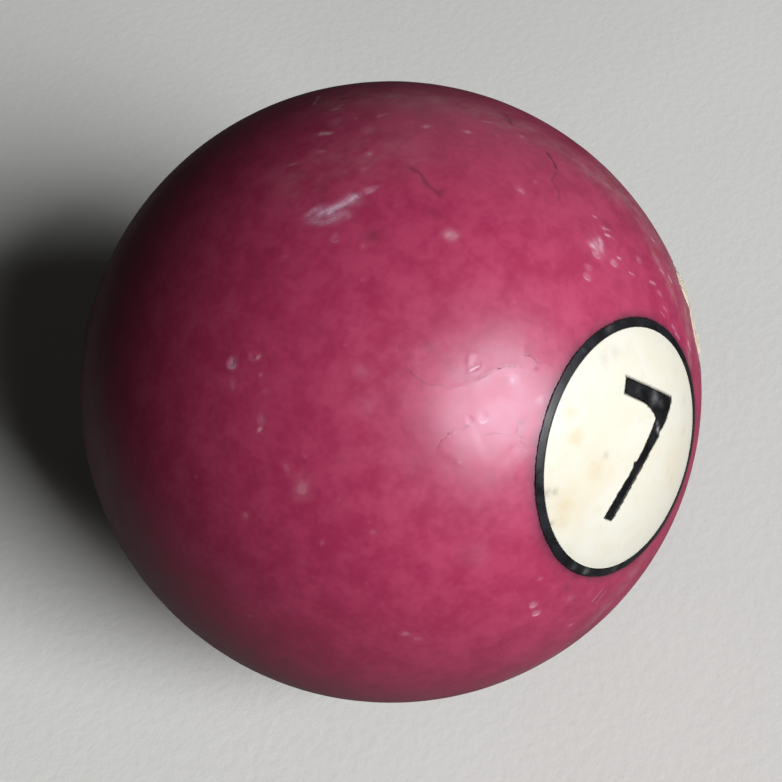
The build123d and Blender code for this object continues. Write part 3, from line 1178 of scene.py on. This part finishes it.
def ring_sleeve(side):
    """The black ring: a sleeve with a crowned top, ragged where it meets the skin."""
    _, _, outward = number_frame(side)
    turn = 2 * pi * np.arange(RING_STEPS) / RING_STEPS
    edge = ring_edge(turn)
    shares = (0.0, 0.06, 0.14, 0.35, 0.65, 0.86, 0.94, 1.0)
    drops = (0.018, 0.008, 0.0, 0.0, 0.0, 0.0, 0.0, 0.0)
    rows, normals, wear_and_sheen = [], [], []
    for share, drop in zip(shares, drops):
        radius = DISC_R + share * (edge - DISC_R)
        flat = radius[:, None] * np.stack([np.cos(turn), np.sin(turn)], axis=1)
        dirs = spherical(flat, side)
        height = 0.0025 * ripple(dirs, 6.0, 61) + 0.003 * ripple(dirs, 1.4, 71) - 0.005 - drop
        rows.append(dirs * (FACE_R + height)[:, None])
        wear_and_sheen.append(face_marks(flat, RING_WEAR_AND_GLINTS))
        tip = 15 * drop * np.sign(share - 0.5)
        outwards = normalised(dirs - np.outer(dirs @ outward, outward))
        normals.append(normalised(dirs + tip * outwards))
    points = np.concatenate(rows)
    faces = np.concatenate([band_faces(row) for row in range(len(rows) - 1)])
    solid = Solid()
    solid.surface(points, faces, np.concatenate(normals), {"wear_and_sheen": np.concatenate(wear_and_sheen)})
    last = (len(rows) - 1) * RING_STEPS
    outer_top = loop_numbers(last, RING_STEPS)
    inner_top = loop_numbers(0, RING_STEPS)
    feet = np.concatenate([
        level_with(rows[0], outward, PLUG_FLOOR),
        level_with(rows[-1], outward, PLUG_FLOOR),
    ])
    first = solid.surface(feet, band_faces(0)[:, ::-1], np.tile(-outward, (len(feet), 1)))
    inner_foot = loop_numbers(first, RING_STEPS)
    outer_foot = loop_numbers(first + RING_STEPS, RING_STEPS)
    solid.wall(inner_top, inner_foot)
    solid.wall(outer_foot, outer_top)
    return solid.made(f"number_ring_{side}_sleeve")


# ---------------------------------------------------------------- materials


class Recipe:
    """One material's nodes. Each call adds a node and gives its output."""

    def __init__(self, name):
        self.material = bpy.data.materials.new(name)
        self.material.use_nodes = True
        self.tree = self.material.node_tree
        self.tree.nodes.clear()
        self.place = self.node("ShaderNodeTexCoord").outputs["Object"]

    def node(self, kind, inputs=None, **settings):
        made = self.tree.nodes.new(kind)
        for name, value in settings.items():
            setattr(made, name, value)
        for name, value in (inputs or {}).items():
            self.feed(made.inputs[name], value)
        return made

    def feed(self, socket, value):
        """Links an output to a socket, or sets a plain value on it."""
        if isinstance(value, bpy.types.NodeSocket):
            self.tree.links.new(value, socket)
        elif isinstance(value, tuple) and len(value) == 3 and socket.type == "RGBA":
            socket.default_value = (*value, 1.0)
        else:
            socket.default_value = value

    def noise(self, size, detail=3.0, roughness=0.55, distortion=0.0):
        """Clouds about that many millimetres across, from 0 to 1."""
        inputs = {"Vector": self.place, "Scale": 1 / (size * MM), "Detail": detail}
        inputs |= {"Roughness": roughness, "Distortion": distortion}
        return self.node("ShaderNodeTexNoise", inputs).outputs[0]

    def cells(self, size, output="Distance"):
        """Cells about that many millimetres across: distance from their middles, or a colour."""
        inputs = {"Vector": self.place, "Scale": 1 / (size * MM)}
        return self.node("ShaderNodeTexVoronoi", inputs).outputs[output]

    def span(self, value, low, high, to_low=0.0, to_high=1.0):
        """Maps low..high of a value to another range, smoothly and without overshoot."""
        inputs = {"Value": value, "From Min": low, "From Max": high}
        inputs |= {"To Min": to_low, "To Max": to_high}
        made = self.node("ShaderNodeMapRange", inputs, interpolation_type="SMOOTHSTEP")
        return made.outputs["Result"]

    def maths(self, operation, first, second):
        return self.node("ShaderNodeMath", {0: first, 1: second}, operation=operation).outputs[0]

    def times(self, first, second):
        return self.maths("MULTIPLY", first, second)

    def plus(self, first, second):
        return self.maths("ADD", first, second)

    def mixed(self, amount, first, second):
        """Blends two colours."""
        inputs = {0: amount, 6: first, 7: second}
        return self.node("ShaderNodeMix", inputs, data_type="RGBA").outputs[2]

    def stain(self, name):
        return self.node("ShaderNodeAttribute", attribute_name=name).outputs["Fac"]

    def broken_stain(self, name, texture, low, high, least):
        """A stain that keeps only its least share where the texture is at low or under."""
        return self.times(self.stain(name), self.span(texture, low, high, least, 1.0))

    def bump(self, height, depth, under=None):
        """Roughens the shading by a height that is depth millimetres from 0 to 1."""
        inputs = {"Height": height, "Distance": depth * MM}
        if under is not None:
            inputs["Normal"] = under
        return self.node("ShaderNodeBump", inputs).outputs["Normal"]

    def finish(self, **inputs):
        """Ends in a principled shader with these inputs, spaces for underscores."""
        shader = self.node("ShaderNodeBsdfPrincipled")
        for name, value in inputs.items():
            self.feed(shader.inputs[name.replace("_", " ")], value)
        end = self.node("ShaderNodeOutputMaterial")
        self.tree.links.new(shader.outputs["BSDF"], end.inputs["Surface"])
        return self.material


def maroon_resin():
    """Old cast resin: faintly clouded crimson, under all the placed wear and the painted glints."""
    r = Recipe("maroon_resin")
    clouds = r.noise(8.0, 3.0, 0.5, 0.1)
    mottle = r.noise(2.2, 3.0, 0.5, 0.1)
    grain = r.noise(0.55, 3.0, 0.55)
    blend = r.plus(r.times(clouds, 0.25), r.plus(r.times(mottle, 0.53), r.times(grain, 0.22)))
    colour = r.mixed(r.span(blend, 0.36, 0.64), (0.395, 0.027, 0.090), (0.482, 0.045, 0.122))
    dark_patch = r.span(r.noise(1.7, 2.0, 0.5, 0.6), 0.58, 0.74, 0.0, 0.16)
    colour = r.mixed(dark_patch, colour, (0.290, 0.016, 0.060))
    cell = r.cells(1.5, "Color")
    fleck_size = r.span(cell, 0.55, 1.0, 0.0, 0.24)
    fleck = r.span(r.maths("SUBTRACT", fleck_size, r.cells(1.5)), 0.0, 0.14, 0.0, 0.20)
    colour = r.mixed(fleck, colour, (0.620, 0.140, 0.240))
    film = r.broken_stain("film", grain, 0.30, 0.65, 0.62)
    colour = r.mixed(r.times(film, 0.72), colour, (0.440, 0.255, 0.255))
    grime = r.broken_stain("grime", grain, 0.25, 0.60, 0.75)
    colour = r.mixed(grime, colour, (0.085, 0.018, 0.028))
    broken = r.span(r.noise(0.32, 3.0, 0.6), 0.34, 0.62, 0.66, 1.0)
    # pale rubbed resin, with painted glints and highlights in the dents
    chalk_and_glint = r.times(r.stain("chalk_and_glint"), broken)
    colour = r.mixed(r.times(chalk_and_glint, 0.92), colour, (0.830, 0.560, 0.720))
    pale_fleck = r.times(r.stain("fleck"), broken)
    colour = r.mixed(r.times(pale_fleck, 0.88), colour, (0.780, 0.420, 0.480))
    colour = r.mixed(r.times(r.stain("crack"), 0.55), colour, (0.120, 0.010, 0.034))
    colour = r.mixed(r.stain("bleed"), colour, (0.030, 0.014, 0.024))
    roughness = r.span(mottle, 0.30, 0.72, 0.38, 0.50)
    roughness = r.plus(roughness, r.times(chalk_and_glint, 0.18))
    roughness = r.plus(roughness, r.times(film, 0.10))
    waves = r.bump(r.noise(1.5, 2.0, 0.5), 0.014)
    fine = r.bump(r.noise(0.22, 3.0, 0.6), 0.0022, waves)
    return r.finish(
        Base_Color=colour, Roughness=roughness, Normal=fine,
        Coat_Weight=0.40, Coat_Roughness=0.28, IOR=1.60, Specular_Tint=(0.90, 0.86, 1.0),
    )


def core_composition():
    """Granular cream filler, browner where it has taken up dirt."""
    r = Recipe("core_composition")
    grains = r.noise(0.35, 4.0, 0.7)
    patches = r.noise(1.8, 3.0, 0.55)
    colour = r.mixed(r.span(grains, 0.35, 0.65), (0.580, 0.490, 0.370), (0.740, 0.660, 0.530))
    dirt = r.span(patches, 0.52, 0.70, 0.0, 0.55)
    colour = r.mixed(dirt, colour, (0.450, 0.270, 0.180))
    residue = r.broken_stain("residue", grains, 0.30, 0.55, 0.6)
    colour = r.mixed(residue, colour, (0.330, 0.040, 0.085))
    bump = r.bump(grains, 0.03)
    roughness = r.span(grains, 0.3, 0.7, 0.75, 0.95)
    return r.finish(Base_Color=colour, Roughness=roughness, Normal=bump)


def white_disc():
    """Aged white resin: cream, faintly clouded, with soft amber stains and sooty specks."""
    r = Recipe("white_disc")
    clouds = r.noise(3.6, 3.0, 0.5, 0.3)
    grain = r.noise(0.5, 3.0, 0.6)
    colour = r.mixed(r.span(clouds, 0.36, 0.68), (0.772, 0.752, 0.652), (0.755, 0.716, 0.592))
    wash = r.span(r.noise(1.3, 4.0, 0.6, 0.5), 0.52, 0.74, 0.0, 0.42)
    colour = r.mixed(wash, colour, (0.700, 0.650, 0.520))
    amber = r.broken_stain("amber", grain, 0.28, 0.60, 0.75)
    colour = r.mixed(amber, colour, (0.660, 0.520, 0.290))
    soot = r.broken_stain("soot", grain, 0.28, 0.55, 0.55)
    colour = r.mixed(soot, colour, (0.200, 0.170, 0.150))
    cell = r.cells(0.95, "Color")
    pore_size = r.span(cell, 0.60, 1.0, 0.0, 0.26)
    pore = r.span(r.maths("SUBTRACT", pore_size, r.cells(0.95)), 0.0, 0.10, 0.0, 0.30)
    colour = r.mixed(pore, colour, (0.560, 0.550, 0.500))
    roughness = r.span(clouds, 0.3, 0.7, 0.32, 0.42)
    dimples = r.bump(pore, 0.010)
    fine = r.bump(r.noise(0.6, 3.0, 0.6), 0.004, dimples)
    return r.finish(
        Base_Color=colour, Roughness=roughness, Normal=fine,
        Coat_Weight=0.04, Coat_Roughness=0.24, IOR=1.40,
    )


def black_resin(name, lifted):
    """Black inlay, grey in patches from wear and from painted sheen and glints, with a little dust in
    its grain.
    """
    r = Recipe(name)
    clouds = r.noise(1.6, 3.0, 0.55, 0.4)
    grain = r.noise(0.3, 3.0, 0.6)
    colour = r.mixed(r.span(clouds, 0.35, 0.68), (0.004, 0.004, 0.005), lifted)
    dust = r.span(grain, 0.60, 0.78, 0.0, 0.10)
    colour = r.mixed(dust, colour, (0.070, 0.066, 0.070))
    # grey patches: wear, and painted sheen and glints on the numeral's corner and the ring
    wear_and_sheen = r.broken_stain("wear_and_sheen", grain, 0.28, 0.60, 0.35)
    colour = r.mixed(wear_and_sheen, colour, (0.340, 0.335, 0.340))
    roughness = r.plus(r.span(clouds, 0.3, 0.7, 0.26, 0.38), r.times(wear_and_sheen, 0.2))
    fine = r.bump(grain, 0.003)
    return r.finish(Base_Color=colour, Roughness=roughness, Normal=fine, IOR=1.45)


def studio_floor():
    """Pale to the camera. It throws little light back, but shines in the ball's limb."""
    r = Recipe("studio_floor")
    clouds = r.noise(60.0, 3.0, 0.5)
    grain = r.noise(1.2, 3.0, 0.6)
    pale = r.mixed(r.span(clouds, 0.3, 0.7), (0.735, 0.728, 0.695), (0.775, 0.768, 0.735))
    path = r.node("ShaderNodeLightPath")
    away = r.node("ShaderNodeVectorMath", {0: r.place}, operation="LENGTH")
    distance = r.span(away.outputs["Value"], 0.06, 0.14)
    mirrored = r.mixed(distance, (0.130, 0.125, 0.118), (0.010, 0.010, 0.009))
    thrown = r.mixed(path.outputs["Is Glossy Ray"], (0.035, 0.034, 0.032), mirrored)
    colour = r.mixed(path.outputs["Is Camera Ray"], thrown, pale)
    return r.finish(Base_Color=colour, Roughness=0.85, Normal=r.bump(grain, 0.05))


# ---------------------------------------------------------------- stage

# Light sizes are in metres and powers in watts.
# The key: its bearing as seen from its glint on the ball, and its distance in ball radii.
# Being close, it leaves the ball's far side dark.
LIGHT_BEARING = (-93.2, 34.8)
GLINT_PLACE = (-118.5, 47.5)
KEY_DISTANCE = 6.5
KEY_SIZE = (0.110, 0.098)
KEY_POWER = 0.378
# The same light from far off, for the floor alone
FLOOR_KEY_DISTANCE = 1.40
FLOOR_KEY_SIZE = (0.72, 0.64)
FLOOR_KEY_POWER = 27.8
# A weak broad light from the right, as if thrown back by the floor there
BOUNCE_BEARING = (-50.0, 4.0)
BOUNCE_SIZE = (1.2, 0.6)
BOUNCE_POWER = 0.6
# A weak light behind the ball and to its right, for the pale line along that limb
RIM_BEARING = (8.0, 20.0)
RIM_SIZE = (1.2, 1.0)
RIM_POWER = 0.7
WEAK_LIGHT_DISTANCE = 1.0
LIGHT_COLOUR = (0.97, 0.98, 1.0)

FILL_COLOUR = (0.97, 0.96, 0.95, 1.0)
FILL_STRENGTH = 0.016
BACKDROP_COLOUR = (0.46, 0.46, 0.455, 1.0)
FLOOR_REACH = 3.0

VIEW_AZIMUTH = -51.6
VIEW_ELEVATION = 52.2
VIEW_DISTANCE = 4.81 * BALL_R * MM
LENS = 67.4
FRAMING = (0.00026, 0.00128)


def view_direction():
    """From the ball's centre towards the camera."""
    turn, rise = radians(VIEW_AZIMUTH), radians(VIEW_ELEVATION)
    return Vector((sin(turn) * cos(rise), -cos(turn) * cos(rise), sin(rise)))


def make_camera():
    data = bpy.data.cameras.new("camera")
    data.lens = LENS
    data.sensor_width = 36.0
    data.shift_x, data.shift_y = FRAMING
    data.clip_start = 0.01
    camera = bpy.data.objects.new("camera", data)
    away = view_direction()
    camera.location = away * VIEW_DISTANCE
    camera.rotation_euler = (-away).to_track_quat("-Z", "Y").to_euler()
    bpy.context.scene.collection.objects.link(camera)
    bpy.context.scene.camera = camera


def area_light(name, spot, size, power, lit):
    """A soft oblong light that faces the ball, and lights only the listed objects."""
    data = bpy.data.lights.new(name, "AREA")
    data.shape = "RECTANGLE"
    data.size, data.size_y = size
    data.energy = power
    data.color = LIGHT_COLOUR
    lamp = bpy.data.objects.new(name, data)
    lamp.location = spot
    lamp.rotation_euler = (-Vector(spot)).to_track_quat("-Z", "Y").to_euler()
    bpy.context.scene.collection.objects.link(lamp)
    receivers = bpy.data.collections.new(name + "_receivers")
    for piece in lit:
        receivers.objects.link(piece)
    lamp.light_linking.receiver_collection = receivers


def make_lights(pieces, floor):
    """A key close to the ball, two weak lights on it, and a distant key for the floor."""
    towards = bearing(*LIGHT_BEARING)
    glint = bearing(*GLINT_PLACE)
    near = BALL_R * MM * (glint + (KEY_DISTANCE - 1) * towards)
    area_light("key", near.tolist(), KEY_SIZE, KEY_POWER, pieces)
    bounce = bearing(*BOUNCE_BEARING) * WEAK_LIGHT_DISTANCE
    area_light("bounce", bounce.tolist(), BOUNCE_SIZE, BOUNCE_POWER, pieces)
    rim = bearing(*RIM_BEARING) * WEAK_LIGHT_DISTANCE
    area_light("rim", rim.tolist(), RIM_SIZE, RIM_POWER, pieces)
    far = FLOOR_KEY_DISTANCE * towards
    area_light("floor_key", far.tolist(), FLOOR_KEY_SIZE, FLOOR_KEY_POWER, [floor])


def make_world():
    """Dim all-round fill, and a pale backdrop behind the floor's edge."""
    world = bpy.data.worlds.new("studio")
    bpy.context.scene.world = world
    world.use_nodes = True
    tree = world.node_tree
    tree.nodes.clear()
    fill = tree.nodes.new("ShaderNodeBackground")
    fill.inputs["Color"].default_value = FILL_COLOUR
    fill.inputs["Strength"].default_value = FILL_STRENGTH
    backdrop = tree.nodes.new("ShaderNodeBackground")
    backdrop.inputs["Color"].default_value = BACKDROP_COLOUR
    seen = tree.nodes.new("ShaderNodeLightPath")
    chosen = tree.nodes.new("ShaderNodeMixShader")
    end = tree.nodes.new("ShaderNodeOutputWorld")
    tree.links.new(seen.outputs["Is Camera Ray"], chosen.inputs[0])
    tree.links.new(fill.outputs[0], chosen.inputs[1])
    tree.links.new(backdrop.outputs[0], chosen.inputs[2])
    tree.links.new(chosen.outputs[0], end.inputs["Surface"])


def make_floor():
    """A plain pale floor under the ball's resting point."""
    signs = [(-1, -1), (1, -1), (1, 1), (-1, 1)]
    corners = [(FLOOR_REACH * x, FLOOR_REACH * y, cad_box[0].z) for x, y in signs]
    mesh = bpy.data.meshes.new("floor")
    mesh.from_pydata(corners, [], [(0, 1, 2, 3)])
    floor = bpy.data.objects.new("floor", mesh)
    bpy.context.scene.collection.objects.link(floor)
    mesh.materials.append(studio_floor())
    return floor


# ---------------------------------------------------------------- the ball


def place(piece, node, slot, material):
    """Puts a finished piece in the frame in place of its CAD node, and gives it back."""
    piece.data.materials.append(material)
    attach(piece, "root")
    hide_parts(node)
    return piece


def make_ball():
    """All the ball's pieces."""
    pieces = [
        place(skin_shell(), "colour_skin", "maroon_resin", maroon_resin()),
        place(core_solid(), "core_ball", "core_composition", core_composition()),
    ]
    disc_finish = white_disc()
    ring_finish = black_resin("black_ring", (0.012, 0.013, 0.017))
    numeral_finish = black_resin("black_numeral", (0.012, 0.012, 0.014))
    for side in ("front", "rear"):
        outline = numeral_outline(NUMERAL_CHIPS if side == "front" else NUMERAL_CHIPS[3:])
        pieces += [
            place(disc_plug(side, outline), f"number_disc_{side}", "white_disc", disc_finish),
            place(ring_sleeve(side), f"number_ring_{side}", "black_ring", ring_finish),
            place(numeral_inlay(side, outline), f"numeral_{side}", "black_numeral", numeral_finish),
        ]
    return pieces


make_camera()
make_world()
make_lights(make_ball(), make_floor())
bpy.context.scene.view_settings.view_transform = "Standard"
